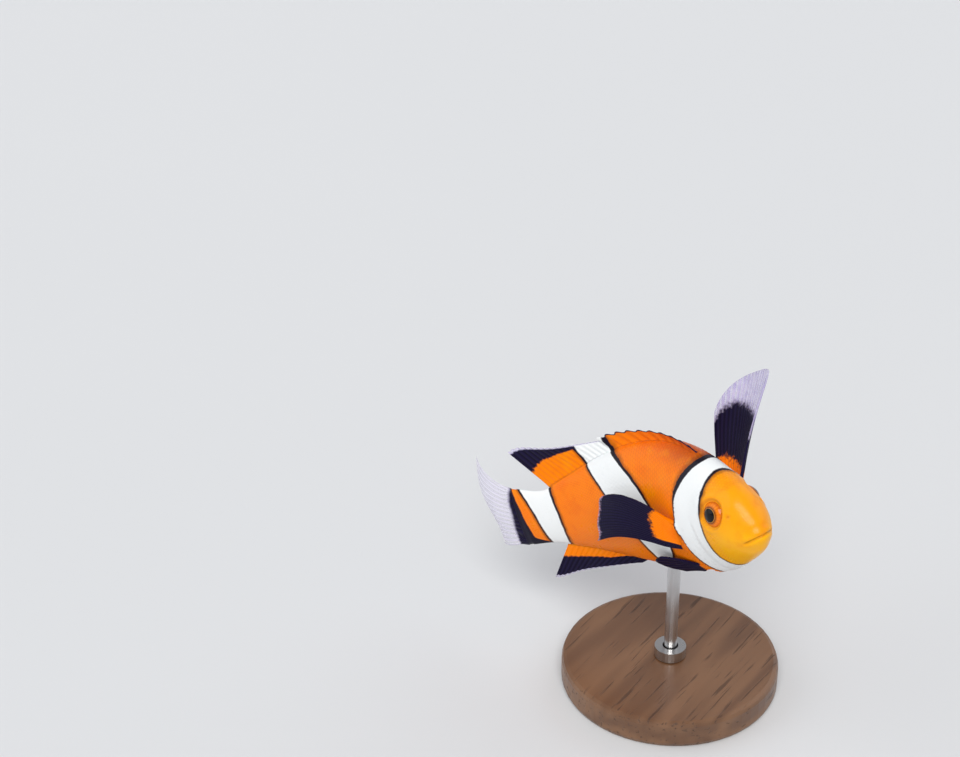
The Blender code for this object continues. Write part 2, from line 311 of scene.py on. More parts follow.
def straight(place, turn, height):
    # a point over the body, before the body is bent
    place = np.maximum(place, 1e-5)
    small = 1e-4
    side, up = flank(place, turn)
    sideNext, upNext = flank(place + small, turn)
    sideTurn, upTurn = flank(place, turn + small)
    alongBody = vectors(np.ones_like(side), (sideNext - side) / small, (upNext - up) / small)
    roundBody = vectors(np.zeros_like(side), (sideTurn - side) / small, (upTurn - up) / small)
    normal = np.cross(roundBody, alongBody)
    normal /= np.linalg.norm(normal, axis=-1, keepdims=True) + 1e-12
    return vectors(place, side, up) + normal * np.asarray(height)[..., None]


def overBody(place, turn, height):
    point = straight(place, turn, height)
    return bent(point[..., 0], point[..., 1], point[..., 2])


# The skin's net: rings along the body and columns round it, from the belly up each side.
net = {
    "snoutRings": 12, "snoutEnd": 0.02, "headRings": 48,
    "spinyRings": 80,  # eight to a spine
    "softRings": 60,  # four to a ray
    "stalkRings": 26, "tailRings": 36, "finLayers": 26, "layerStep": 0.1,
    "columns": (1, 12, 5, 7, 18, 40, 1),  # how many lie between the turns below
    "turns": (-1.15, -0.95, -0.466, -0.02),  # and at the belly, the back and the strips beside them
    "strip": 0.06,  # the turn from the back or the belly to the edge of a middle fin's strip
    "stripWidth": 0.0046,  # half the width of that strip
    "coatDepth": 0.0016,  # the skin lies this far under the outer form where scales cover it
}
# "rake" is each fin's lean at its front and rear end, "length" its height there.
spinyFin = {
    "start": 0.23, "end": 0.588, "rake": (0.95, 1.02), "heights": (0.018, 0.032, 0.05, 0.064, 0.07),
    "spines": 10, "dip": 0.16, "ridge": 0.003,
}
softFin = {
    "start": 0.598, "end": 0.862, "rake": (1.02, 0.73), "length": (0.05, 0.194), "rise": 1.3,
    "rays": 15, "flesh": 0.0034,
    "sway": (0.006, 1.3, 0.15),  # how far, how many waves along the fin, where they start
}
analFin = {
    "start": 0.594, "end": 0.862, "rake": (1.15, 0.65), "length": (0.036, 0.166), "flesh": 0.003,
    "sway": (0.005, 1.2, 0.4),
}
middleFins = {"thin": 0.0014, "fleshReach": 0.01, "ridge": 0.0016, "ridgeFade": 0.55, "notch": 0.593}
tailFin = {
    "length": (0.19, 0.235), "spread": (-0.18, 0.46), "base": (-0.105, 0.073), "rays": 14,
    "fork": 0.05, "sway": (0.01, 1.1, 0.1),
}
tipRounding = 0.16
finColumns = np.cumsum((0,) + net["columns"])


def ringPlaces():
    places = [net["snoutEnd"] * np.linspace(0, 1, net["snoutRings"] + 1) ** 2]
    start = net["snoutEnd"]
    for end, count in (
        (spinyFin["start"], net["headRings"]),
        (spinyFin["end"], net["spinyRings"]),
        (softFin["start"], 2),
        (softFin["end"], net["softRings"]),
        (1, net["stalkRings"]),
        (2, net["tailRings"]),
    ):
        places.append(np.linspace(start, end, count + 1)[1:])
        start = end
    return np.concatenate(places)


def halfColumns():
    end = math.pi / 2
    stops = (-end, -end + net["strip"], *net["turns"], end - net["strip"], end)
    turns = [stops[0]]
    for count, low, high in zip(net["columns"], stops, stops[1:]):
        turns.extend(np.linspace(low, high, count + 1)[1:])
    return np.array(turns)


columnTurns = halfColumns()
sideColumns = len(columnTurns) - 1


def deselectAll():
    for item in bpy.context.view_layer.objects:
        item.select_set(False)


def readValues(rows, name, width=3, kind=np.float64):
    values = np.empty(len(rows) * width, dtype=kind)
    rows.foreach_get(name, values)
    return values.reshape(-1, width) if width > 1 else values


def writePoints(mesh, points):
    mesh.vertices.foreach_set("co", np.ascontiguousarray(points, dtype=np.float32).ravel())
    mesh.update()


def storeVectors(mesh, name, *columns):
    attribute = mesh.attributes.new(name, "FLOAT_VECTOR", "POINT")
    attribute.data.foreach_set("vector", vectors(*columns).astype(np.float32).ravel())


def mode(name):
    bpy.ops.object.mode_set(mode=name)


def editWhole():
    mode("EDIT")
    bpy.ops.mesh.select_all(action="SELECT")


def turnOutward():
    bpy.ops.mesh.normals_make_consistent(inside=False)
    mode("OBJECT")


def selectFaces(item, chosen):
    mode("EDIT")
    bpy.ops.mesh.select_mode(type="FACE")
    bpy.ops.mesh.select_all(action="DESELECT")
    mode("OBJECT")
    item.data.polygons.foreach_set("select", chosen)
    mode("EDIT")


def netPlaces(points):
    # place, column from 0 at the belly to sideColumns at the back, side and layer, read off the rolled net
    radius = np.hypot(points[:, 0], points[:, 1])
    column = (np.arctan2(points[:, 1], points[:, 0]) / math.tau) % 1 * 2 * sideColumns
    left = column <= sideColumns
    half = np.where(left, column, 2 * sideColumns - column)
    return points[:, 2], half, np.where(left, 1, -1), np.round((radius - 1) / net["layerStep"])


def rollNet():
    # the flat grid becomes a tube whose length is the place and whose angle is the column
    rings = ringPlaces()
    columns = 2 * sideColumns
    bpy.ops.mesh.primitive_grid_add(x_subdivisions=len(rings) - 1, y_subdivisions=columns, size=1)
    item = bpy.context.object
    flat = readValues(item.data.vertices, "co")
    place = rings[np.round((flat[:, 0] + 0.5) * (len(rings) - 1)).astype(int)]
    angle = math.tau * np.round((flat[:, 1] + 0.5) * columns) / columns
    writePoints(item.data, vectors(np.cos(angle), np.sin(angle), place))
    editWhole()
    bpy.ops.mesh.remove_doubles(threshold=1e-6)
    mode("OBJECT")
    return item


def pairedPatch(place, half):
    ring = (place > finRoots["low"]) & (place < finRoots["high"])
    pectoral = (half > finColumns[4]) & (half < finColumns[5])
    return ring & (pectoral | (half > finColumns[2]) & (half < finColumns[3]))


def growFins(item):
    place, half = netPlaces(readValues(item.data.polygons, "center"))[:2]
    selectFaces(item, pairedPatch(place, half))
    bpy.ops.mesh.subdivide(number_cuts=3)
    mode("OBJECT")
    place, half = netPlaces(readValues(item.data.polygons, "center"))[:2]
    back = (place > spinyFin["start"]) & (place < softFin["end"]) & (half > finColumns[6])
    belly = (place > analFin["start"]) & (place < analFin["end"]) & (half < finColumns[1])
    selectFaces(item, pairedPatch(place, half) | back | belly)
    for number in range(net["finLayers"]):
        growth = (1 + net["layerStep"] * (number + 1)) / (1 + net["layerStep"] * number)
        bpy.ops.mesh.extrude_region_move()
        bpy.ops.transform.resize(value=(growth, growth, 1), center_override=(0, 0, 0))
    mode("OBJECT")


def stripTurns(place, turn):
    # near the back and the belly the columns spread, so that a fin's strip keeps its width
    edge, end = net["strip"], 0.7
    width = np.maximum(bodySize(3, place) * (1 - body["flankPinch"]), 1e-4)
    wide = np.arcsin(np.minimum(net["stripWidth"] / width, 0.42))
    for sign, low, high in ((1, 0.18, 0.23), (-1, 0.56, 0.61)):
        strip = edge + (wide - edge) * smooth(low, high, place)
        away = math.pi / 2 - sign * turn
        outer = strip + (away - edge) * (end - strip) / (end - edge)
        away = np.where(away < edge, away * strip / edge, np.where(away < end, outer, away))
        turn = sign * (math.pi / 2 - away)
    return turn


def rounded(share, amount):
    return 1 - amount * np.abs(2 * share - 1) ** 4


def thinning(out, end, width=0.05):
    return np.sqrt(np.clip((end - out) / width, 0, 1))


def rayRidge(phase, sharp):
    return (0.5 + 0.5 * np.cos(math.tau * phase)) ** sharp


def branching(phase, out, sharp=1.4, branched=1):
    # a ray is one ridge at its root and two at its end
    return rayRidge(phase, sharp) * (1 - out * branched) + rayRidge(2 * phase + 0.5, 1) * out * branched


def swaying(fin, out, along):
    size, waves, start = fin["sway"]
    return size * out**1.5 * np.sin(math.tau * (waves * along + start))


def alongFin(fin, place):
    return np.clip((place - fin["start"]) / (fin["end"] - fin["start"]), 0, 1)


def softPhase(place):
    return softFin["rays"] * (place - softFin["start"]) / (softFin["end"] - softFin["start"])


def softLength(fin, share, place, curve=1):
    length = between(fin["length"], share**curve) * rounded(np.maximum(share, 0.5), tipRounding)
    return length * (1 + 0.012 * np.cos(math.tau * softPhase(place)))


def middleSheet(way, place, out, sign, fin, length, rake, ridge, sway):
    # on the back where way is 1, under the belly where it is -1
    half = middleFins["thin"] + fin["flesh"] * np.exp(-out * length / middleFins["fleshReach"])
    half = half + ridge * (1 - middleFins["ridgeFade"] * out)
    reach = length * out
    up = way * (bodySize(1 if way > 0 else 2, place) + reach * np.cos(rake))
    return bent(place + reach * np.sin(rake), sign * half * thinning(out, 1.012) + sway, up)


def backFin(place, out, sign):
    spiny = alongFin(spinyFin, place)
    soft = alongFin(softFin, place)
    joint = smooth(spinyFin["end"], softFin["start"], place)
    heights = np.interp(spiny, np.linspace(0, 1, len(spinyFin["heights"])), spinyFin["heights"])
    heights = heights * (1 - spinyFin["dip"] * np.sin(math.pi * spinyFin["spines"] * spiny) ** 2)
    length = heights * (1 - joint) + softLength(softFin, soft, place, softFin["rise"]) * joint
    rake = between(spinyFin["rake"], spiny) * (1 - joint) + between(softFin["rake"], soft) * joint
    onSpines = place < middleFins["notch"]
    phase = np.where(onSpines, spinyFin["spines"] * spiny, softPhase(place))
    softRidge = middleFins["ridge"] * rayRidge(phase, 1.5)
    ridge = np.where(onSpines, spinyFin["ridge"] * rayRidge(phase, 4), softRidge)
    sway = joint * swaying(softFin, out, soft)
    return middleSheet(1, place, out, sign, softFin, length, rake, ridge, sway), phase


def bellyFin(place, out, sign):
    share = alongFin(analFin, place)
    phase = softPhase(place)
    length = softLength(analFin, share, place)
    rake = between(analFin["rake"], share)
    ridge = middleFins["ridge"] * rayRidge(phase, 1.5)
    sway = swaying(analFin, out, share)
    return middleSheet(-1, place, out, sign, analFin, length, rake, ridge, sway), phase


def tailSheet(half, out, turn, side):
    # the stalk's round end flattens into the fin over its first part
    share = half / sideColumns
    mix = smooth(0, 0.22, out)
    fan = (np.sin(turn) + 1) / 2 * (1 - mix) + share * mix
    phase = tailFin["rays"] * share
    angle = between(tailFin["spread"], fan)
    rootSide, rootUp = flank(np.ones_like(turn), turn)
    length = between(tailFin["length"], fan) * rounded(fan, tipRounding)
    length = length * (1 + 0.01 * np.cos(math.tau * phase) - tailFin["fork"] * bump(fan, 0.5, 0.28))
    reach = length * out
    up = rootUp * (1 - mix) + between(tailFin["base"], fan) * mix + reach * np.sin(angle)
    sheet = 0.0012 + 0.0022 * branching(phase, out) * (1 - 0.6 * out)
    sheet = sheet * np.sqrt(np.clip(8 * np.minimum(share, 1 - share) + 0.02, 0, 1))
    thick = np.abs(rootSide) * (1 - smooth(0, 0.3, out)) + sheet * smooth(0, 0.2, out)
    thick = thick * thinning(out, 1, 0.04)
    return bent(1 + reach * np.cos(angle), side * thick + swaying(tailFin, out, fan), up), phase


def pectoralRay(fin, along):
    angle = between(fin["out"], along)
    lift = between(fin["up"], along)
    corner = np.where(along < 0.5, *fin["rounding"])
    length = fin["length"] * rounded(along, corner) * (1 - pectoralFin["taper"] * along)
    level = length * np.cos(lift)
    return vectors(level * np.cos(angle), level * np.sin(angle), length * np.sin(lift))


def pectoralSheet(side, along, out):
    fin = pectoralSides[side]
    place = between(pectoralFin["place"], along)
    up = between(pectoralFin["up"], along)
    leave = pectoralFin["clearance"] * (0.45 + 0.55 * smooth(0, 0.15, out))
    root = bent(place, side * (flank(place, turnAt(place, up))[0] + leave), up)
    middle = pectoralRay(fin, np.full_like(along, 0.5))
    reach = np.asarray(out)[..., None]
    spread = (pectoralRay(fin, along) - middle) * reach ** fin["fanning"]
    steps = middle * reach + spread + np.array(fin["bow"]) * np.sin(math.pi * reach)
    ripple = 0.004 * out**1.5 * np.sin(math.tau * (1.7 * along + 0.1))
    backward, outward, upward = np.moveaxis(steps, -1, 0)
    return offset(pectoralFin["place"][0], root, backward, side * (outward + ripple), upward)


def pelvicSheet(side, along, out):
    fin = pelvicFin
    rootSide, rootUp = flank(np.float64(fin["place"]), fin["turn"])
    amount, longest = fin["pointed"]
    pointed = 1 - amount * np.abs(along - longest) ** 1.5
    reach = fin["length"] * pointed * rounded(along, tipRounding) * out
    across = between(fin["width"], out) * (along - fin["inner"])
    sideways = rootSide + across * math.cos(fin["tilt"]) + reach * fin["out"]
    leave = fin["clearance"] * smooth(-0.05, 0.18, out)  # the sheet parts from the belly little by little
    up = rootUp - leave + across * math.sin(fin["tilt"]) - reach * fin["drop"]
    return bent(fin["place"] + reach, side * sideways, up)


def sheetPoints(sheet, side, along, out, thick, facing):
    # both faces of a thin sheet, pushed apart along its normal
    small = 1e-3
    middle = sheet(side, along, out)
    normal = np.cross(sheet(side, along + small, out) - middle, sheet(side, along, out + small) - middle)
    normal /= np.linalg.norm(normal, axis=-1, keepdims=True) + 1e-15
    turned = np.sign(np.sum(normal * np.array(facing), axis=-1).mean())
    return middle + normal * turned * thick[:, None]


def shapeSkin(item):
    mesh = item.data
    place, half, side, layer = netPlaces(readValues(mesh.vertices, "co"))
    turn = stripTurns(np.minimum(place, 1), np.interp(half, np.arange(sideColumns + 1), columnTurns))
    # the rings lean to run along the root of the pectoral fin
    low, high = net["turns"][2:]
    baseShare = np.clip((high - turn) / (high - low), -0.3, 1.3)
    shift = between(pectoralFin["place"], baseShare) - finRoots["middle"]
    shift *= bump(place, finRoots["middle"], 0.035) * smooth(-0.85, -0.47, turn) * smooth(0.35, -0.02, turn)
    bodyPlace = np.clip(place, 1e-5, 1) + shift
    folds, creaseShade = headFolds(bodyPlace, turn)
    height = folds - net["coatDepth"] * scaleCover(bodyPlace, turn)
    points = overBody(bodyPlace, np.where(side > 0, turn, math.pi - turn), height)
    reach, paired, ray = np.zeros((3, len(place), 3))

    share = layer / net["finLayers"]
    strip = np.where(np.abs(half - np.round(half)) < 0.2, np.round(half), -1)
    sign = np.where((strip == 1) | (strip == sideColumns - 1), side, 0)
    for number, fin, chosen in (
        (0, backFin, (layer > 0) & (half > finColumns[6] - 0.5)),
        (1, bellyFin, (layer > 0) & (half < finColumns[1] + 0.5)),
    ):
        points[chosen], ray[chosen, 0] = fin(place[chosen], share[chosen], sign[chosen])
        reach[chosen, number] = share[chosen]
    tail = place > 1
    points[tail], ray[tail, 0] = tailSheet(half[tail], place[tail] - 1, turn[tail], side[tail])
    reach[tail, 2] = place[tail] - 1

    for way in (-1, 1):
        rooted = (layer > 0) & (side == way) & (place > 0.29) & (place < 0.33)
        for number, (fin, sheet) in enumerate(((pectoralFin, pectoralSheet), (pelvicFin, pelvicSheet))):
            first, last = finColumns[fin["columns"][0]], finColumns[fin["columns"][1]]
            chosen = rooted & (half > min(first, last) - 0.5) & (half < max(first, last) + 0.5)
            along = (half[chosen] - first) / (last - first)
            across = (place[chosen] - finRoots["middle"]) / finRoots["half"]
            out = np.clip((layer[chosen] - fin["rootLayers"]) / (net["finLayers"] - fin["rootLayers"]), 0, 1)
            wave = fin["rays"] * along
            ridges = branching(wave, out, fin["sharp"], fin["branched"]) * (1 - fin["ridgeFade"] * out)
            thick = fin["thin"] + fin["flesh"] * np.exp(-out / fin["fleshReach"]) + fin["ridge"] * ridges
            thick = thick * thinning(out, 1.015) * -across
            facing = (fin["facing"][0], way, fin["facing"][1])
            root = np.clip(layer[chosen] / fin["rootLayers"], 0, 1)[:, None]
            outer = sheetPoints(sheet, way, along, out, thick, facing)
            points[chosen] = points[chosen] * (1 - root) + outer * root
            ray[chosen, 0] = wave
            ray[chosen, 1] = along
            paired[chosen, number] = share[chosen]

    onBody = (1 - smooth(0, 0.08, paired[:, 0])) * (1 - smooth(0, 0.08, paired[:, 1]))
    # the third value of "ray" is the painted shade of the head's creases and hollows, kept off the paired
    # fins
    ray[:, 2] = creaseShade * onBody
    paired[:, 2] = np.sign(side)
    points[place < 1e-7] = points[(place > 1e-7) & (place < 2e-4)].mean(axis=0)
    writePoints(mesh, toFrame(points))
    storeVectors(mesh, "lie", bodyPlace, np.sin(turn), side * np.cos(turn))
    storeVectors(mesh, "reach", *reach.T)
    storeVectors(mesh, "paired", *paired.T)
    storeVectors(mesh, "ray", *ray.T)
    editWhole()
    bpy.ops.mesh.remove_doubles(threshold=2e-7)
    turnOutward()


deselectAll()
skin = rollNet()
skin.name = "skin"
growFins(skin)
shapeSkin(skin)
bpy.ops.object.shade_smooth()
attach(skin, "root")
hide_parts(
    "head", "trunk", "tail_stalk", "dorsal_fin_spiny", "dorsal_fin_soft", "anal_fin", "tail_fin",
    "pectoral_fin_left", "pectoral_fin_right", "pelvic_fin_left", "pelvic_fin_right",
)
print("skin shaped:", len(skin.data.polygons), "faces")


# The scales lie in columns along the body and rows round it, every second column shifted by half a row.
coat = {
    "parts": {  # first and last place, and the side, with 0 for both
        "coatHead": (0, 0.285, 0),
        "coatLeft": (0.285, 0.62, 1),
        "coatRight": (0.285, 0.62, -1),
        "coatTailLeft": (0.62, 1, 1),
        "coatTailRight": (0.62, 1, -1),
    },
    "rows": 72,
    "step": 0.8,  # between columns, in row widths
    "first": 0.06, "last": 0.984,
    "front": -2.2,  # how far a scale reaches, in steps
    "rear": 1, "edgeCurve": 0.7,
    "halfWidth": 0.62,  # in row widths
    "base": -0.0006,
    "lift": 0.0005,  # for each step towards the rear edge
    "thickness": 0.0004, "dome": 0.0004,
    "lateralRow": 26,  # the row whose scales carry the lateral line
    "lateralSpan": (0.285, 0.8), "tube": 0.0009,
    "patch": 0.003,  # of the unwrap, for each scale
    "seed": 7,
}


def measureGirth():
    places = np.linspace(0, 1.05, 106)
    turns = np.linspace(-math.pi / 2, math.pi / 2, 241)
    side, up = flank(places[:, None], turns[None, :])
    arc = np.cumsum(np.hypot(np.diff(side, axis=1), np.diff(up, axis=1)), axis=1)
    arc = np.concatenate((np.zeros((len(places), 1)), arc), axis=1)
    shares = np.linspace(0, 0.5, 121)
    table = np.array([np.interp(shares, 0.5 * row / max(row[-1], 1e-9), turns) for row in arc])
    return places, 2 * arc[:, -1], shares, table


girthPlaces, girths, girthShares, girthTurns = measureGirth()


def turnRound(place, share):
    # the turn at a share of the way round, from the belly up the left side and down the right
    share = share % 1
    left = share <= 0.5
    row = np.clip(place / girthPlaces[1], 0, len(girthPlaces) - 1.001)
    column = np.clip(np.where(left, share, 1 - share) / girthShares[1], 0, len(girthShares) - 1.001)
    i, j = row.astype(int), column.astype(int)
    down, across = row - i, column - j
    near = girthTurns[i, j] * (1 - across) + girthTurns[i, j + 1] * across
    far = girthTurns[i + 1, j] * (1 - across) + girthTurns[i + 1, j + 1] * across
    turn = near * (1 - down) + far * down
    return np.where(left, turn, math.pi - turn)


def scaleRoots():
    # place, share of the way round, step, size and row of every scale
    roots = []
    start = coat["first"]
    shift = 0
    while start < coat["last"]:
        step = coat["step"] * np.interp(start, girthPlaces, girths) / coat["rows"]
        for row in range(coat["rows"]):
            roots.append((start, ((row + shift) / coat["rows"]) % 1, step, 1, row))
        start += step
        shift = 0.5 - shift
    roots = np.array(roots)
    place = roots[:, 0]
    turn = turnRound(place, roots[:, 1])
    side, up = flank(place, turn)
    cover = scaleCover(place, turn)
    roots[:, 3] = cover**0.35
    nearFin = np.abs(side) < net["stripWidth"] + 0.45 * roots[:, 2] / coat["step"]
    onBack = nearFin & (up > 0) & (place > spinyFin["start"] - 0.004) & (place < softFin["end"] + 0.006)
    onBelly = nearFin & (up < 0) & (place > analFin["start"] - 0.004) & (place < analFin["end"] + 0.006)
    pectoral, pelvic = fromRoots(place, up)
    edge = gillEdge(turn)
    sine = np.sin(turn)
    onGillEdge = (place + roots[:, 2] > edge - 0.0015) & (place < edge + 0.006)
    onGillEdge = onGillEdge & (sine < 0.78) & (sine > -0.96)
    bare = onBack | onBelly | onGillEdge | (pectoral < 0.009) | (pelvic < 0.01)
    return roots[(cover > 0.05) & ~bare]


def modelScale(name):
    # a thin plate with a flat underside; layScales gives it its outline and its dome
    deselectAll()
    bpy.ops.mesh.primitive_grid_add(x_subdivisions=4, y_subdivisions=3, size=1)
    item = bpy.context.object
    item.name = name
    editWhole()
    bpy.ops.mesh.extrude_region_move(TRANSFORM_OT_translate={"value": (0, 0, 1)})
    mode("OBJECT")
    selectFaces(item, readValues(item.data.polygons, "center")[:, 2] < 0.01)
    bpy.ops.mesh.dissolve_faces()
    bpy.ops.mesh.select_all(action="SELECT")
    turnOutward()
    return item


def layScales(item, roots, shades):
    array = item.modifiers.new("rows", "ARRAY")
    array.count = len(roots)
    array.use_relative_offset = False
    array.use_constant_offset = True
    array.constant_offset_displace = (2, 0, 0)
    bpy.ops.object.modifier_apply(modifier="rows")
    mesh = item.data
    points = readValues(mesh.vertices, "co")
    number = np.arange(len(points)) // (len(points) // len(roots))
    share = points[:, 0] - 2 * number + 0.5
    across = 2 * points[:, 1]
    rootPlace, rootShare, step, size, row = roots[number].T
    rear = coat["rear"] - coat["edgeCurve"] * np.abs(across) ** 2.2
    back = between((coat["front"], rear), share)
    place = rootPlace + size * step * back
    turn = turnRound(place, rootShare + size * across * coat["halfWidth"] / coat["rows"])
    # scales of the gill cover end on it, and those behind it start under its edge
    edge = gillEdge(turn)
    behind = rootPlace > gillEdge(turnRound(rootPlace, rootShare))
    level = np.where(behind, np.maximum(place, edge + 0.0065), np.minimum(place, edge - 0.001))
    folds, creaseShade = headFolds(level, turn)
    height = coat["base"] + coat["lift"] * back + coat["dome"] * (1 - across**2) * smooth(0.2, 0.8, share)
    start, end = coat["lateralSpan"]
    lateral = (row == coat["lateralRow"]) | (row == coat["rows"] - coat["lateralRow"])
    lateral = lateral & (rootPlace > start) & (rootPlace < end)
    height = height + coat["tube"] * lateral * bump(across, 0, 0.45) * smooth(0.15, 0.6, share)
    height = height - coat["thickness"] * (1 - points[:, 2]) - 0.001 * (1 - size)
    writePoints(mesh, toFrame(overBody(place, turn, folds + height)))
    storeVectors(mesh, "lie", place, np.sin(turn), np.cos(turn))
    # the third value of "ray" carries the painted shade of the head's creases and hollows onto the scales
    storeVectors(mesh, "ray", 0, 0, creaseShade)
    storeVectors(mesh, "plate", share, across, shades[number])
    unwrap = vectors(0.02 + 0.95 * rootPlace, 0.01 + 0.98 * rootShare)
    unwrap = unwrap + coat["patch"] * vectors(share - 0.5, 0.5 * across)
    corners = readValues(mesh.loops, "vertex_index", 1, np.int32)
    layer = mesh.uv_layers.new(name="OFBake")
    layer.data.foreach_set("uv", unwrap[corners].astype(np.float32).ravel())


def makeCoat():
    roots = scaleRoots()
    shades = np.random.default_rng(coat["seed"]).random(len(roots))
    way = np.where(roots[:, 1] <= 0.5, 1, -1)
    for name, (start, end, side) in coat["parts"].items():
        chosen = (roots[:, 0] >= start) & (roots[:, 0] < end) & ((side == 0) | (way == side))
        item = modelScale(name)
        layScales(item, roots[chosen], shades[chosen])
        bpy.ops.object.shade_smooth_by_angle(angle=math.radians(50))
        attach(item, "root")
        print(name, "laid:", int(chosen.sum()), "scales")


makeCoat()


# The eyes are flattened balls; their rings are kept as a distance from the middle of the pupil.
def makeEye(name, node, side):
    deselectAll()
    bpy.ops.mesh.primitive_uv_sphere_add(segments=64, ring_count=40, radius=1)
    item = bpy.context.object
    item.name = name
    editWhole()
    bpy.ops.transform.resize(value=(1, 1, eye["flatness"]))
    bpy.ops.transform.resize(value=(eye["radius"],) * 3)
    mode("OBJECT")
    across, upward, out = readValues(item.data.vertices, "co").T
    away = np.hypot(across, upward)
    front = smooth(0, 0.012, out)
    out = out + front * eye["corneaRise"] * bump(away, 0, eye["iris"] * 0.75)
    turn = turnAt(eye["place"], eye["up"])
    middle = straight(np.float64(eye["place"]), turn, 0)
    outward = straight(np.float64(eye["place"]), turn, 1) - middle
    backward = np.array((1, 0, 0)) - outward * outward[0]
    backward /= np.linalg.norm(backward)
    axes = np.stack((backward, np.cross(outward, backward), outward))
    spots = middle - outward * eye["inset"] + vectors(across, upward, out) @ axes
    writePoints(item.data, toFrame(bent(spots[:, 0], side * spots[:, 1], spots[:, 2])))
    storeVectors(item.data, "gaze", away, np.arctan2(upward, across), front)
    editWhole()
    turnOutward()
    bpy.ops.object.shade_smooth()
    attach(item, "root")
    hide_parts(node)
    return item


eyes = (makeEye("eyeRight", "eye_right", -1), makeEye("eyeLeft", "eye_left", 1))
print("eyes set")


class Wire:
    # a node's output that adds, scales and compares like a number
    def __init__(self, socket):
        self.socket = socket
        self.tree = socket.id_data

    def math(self, operation, *others):
        return mathNode(self.tree, operation, self, *others)

    def __add__(self, other):
        return self.math("ADD", other)

    def __sub__(self, other):
        return self.math("SUBTRACT", other)

    def __mul__(self, other):
        return self.math("MULTIPLY", other)

    def __rsub__(self, other):
        return mathNode(self.tree, "SUBTRACT", other, self)

    __radd__ = __add__
    __rmul__ = __mul__


def feed(socket, value):
    # the value is a wire, a number, or the name of a colour
    if isinstance(value, Wire):
        socket.id_data.links.new(value.socket, socket)
    else:
        socket.default_value = (*colours[value], 1) if socket.type == "RGBA" else value


def mathNode(tree, operation, *values):
    node = tree.nodes.new("ShaderNodeMath")
    node.operation = operation
    for socket, value in zip(node.inputs, values):
        feed(socket, value)
    return Wire(node.outputs[0])


def most(first, *others):
    for other in others:
        first = first.math("MAXIMUM", other)
    return first


def rise(value, low, high):
    # 0 below low, 1 above high, smooth between; the other way round when low is the larger
    node = value.tree.nodes.new("ShaderNodeMapRange")
    node.interpolation_type = "SMOOTHSTEP"
    for name, setting in (("Value", value), ("From Min", low), ("From Max", high)):
        feed(node.inputs[name], setting)
    return Wire(node.outputs["Result"])


def mixed(share, first, second, blend="MIX"):
    node = share.tree.nodes.new("ShaderNodeMix")
    node.data_type = "RGBA"
    node.blend_type = blend
    feed(node.inputs["Factor"], share)
    feed(node.inputs[6], first)
    feed(node.inputs[7], second)
    return Wire(node.outputs[2])


def painted(colour, *layers):
    for share, tone in layers:
        colour = mixed(share, colour, tone)
    return colour


def parts(vector):
    node = vector.tree.nodes.new("ShaderNodeSeparateXYZ")
    feed(node.inputs[0], vector)
    return tuple(Wire(socket) for socket in node.outputs)


def noise(tree, scale, detail=2, stretch=(1, 1, 1), vector=None):
    pattern = tree.nodes.new("ShaderNodeTexNoise")
    mapping = tree.nodes.new("ShaderNodeMapping")
    feed(pattern.inputs["Scale"], scale)
    feed(pattern.inputs["Detail"], detail)
    feed(mapping.inputs["Scale"], stretch)
    feed(mapping.inputs["Vector"], vector or Wire(tree.nodes.new("ShaderNodeTexCoord").outputs["Object"]))
    feed(pattern.inputs["Vector"], Wire(mapping.outputs[0]))
    return Wire(pattern.outputs["Fac"])


def waves(value, count):
    return (value * count).math("SINE") * 0.5 + 0.5


def attributeOf(tree, name):
    node = tree.nodes.new("ShaderNodeAttribute")
    node.attribute_name = name
    return Wire(node.outputs["Vector"])


def newGroup(name, inputs, outputs):
    tree = bpy.data.node_groups.new(name, "ShaderNodeTree")
    for way, sockets in (("INPUT", inputs), ("OUTPUT", outputs)):
        for label, kind in sockets.items():
            tree.interface.new_socket(label, in_out=way, socket_type="NodeSocket" + kind)
    entry = tree.nodes.new("NodeGroupInput")
    return tree, {label: Wire(entry.outputs[label]) for label in inputs}, tree.nodes.new("NodeGroupOutput")


def useGroup(tree, group, values):
    node = tree.nodes.new("ShaderNodeGroup")
    node.node_tree = group
    for label, value in values.items():
        feed(node.inputs[label], value)
    return {socket.name: Wire(socket) for socket in node.outputs}


colours = {
    "orange": (0.98, 0.225, 0.001),
    "face": (1, 0.365, 0.001),
    "chin": (1, 0.455, 0.001),
    "nape": (0.72, 0.075, 0.004),
    "white": (0.88, 0.9, 0.9),
    "coolWhite": (0.8, 0.86, 0.92),
    "black": (0.008, 0.005, 0.014),
    # dark brown for the fringes and lower parts of the bars' borders, and for painted shade in the creases
    # and on the nape
    "umber": (0.06, 0.014, 0.004),
    "finBlack": (0.005, 0.003, 0.014),
    "rayBlue": (0.026, 0.02, 0.085),
    "lilac": (0.6, 0.52, 0.88),
    "violet": (0.26, 0.17, 0.62),
    "rimWhite": (0.9, 0.88, 0.92),
    "scaleTint": (1, 0.55, 0.12),
    "scaleEdge": (0.45, 0.16, 0.05),
    "irisOrange": (0.98, 0.29, 0.004),
    "irisRust": (0.7, 0.14, 0.008),
    "irisBrown": (0.1, 0.018, 0.004),
    "irisRim": (0.3, 0.07, 0.008),
    "gold": (0.85, 0.38, 0.05),
    "pupil": (0.003, 0.002, 0.004),
    "walnutDark": (0.115, 0.05, 0.022),
    "walnutPale": (0.23, 0.115, 0.055),
    "walnutFigure": (0.06, 0.026, 0.012),
    "walnutPore": (0.03, 0.013, 0.007),
    "rodSteel": (0.62, 0.62, 0.63),
    "rodShade": (0.496, 0.496, 0.504),
    "collarSteel": (0.58, 0.57, 0.56),
    "collarShade": (0.464, 0.456, 0.448),
    "floorDark": (0.7, 0.71, 0.72),
    "floorPale": (0.73, 0.74, 0.75),
    "sky": (0.92, 0.94, 1),
}
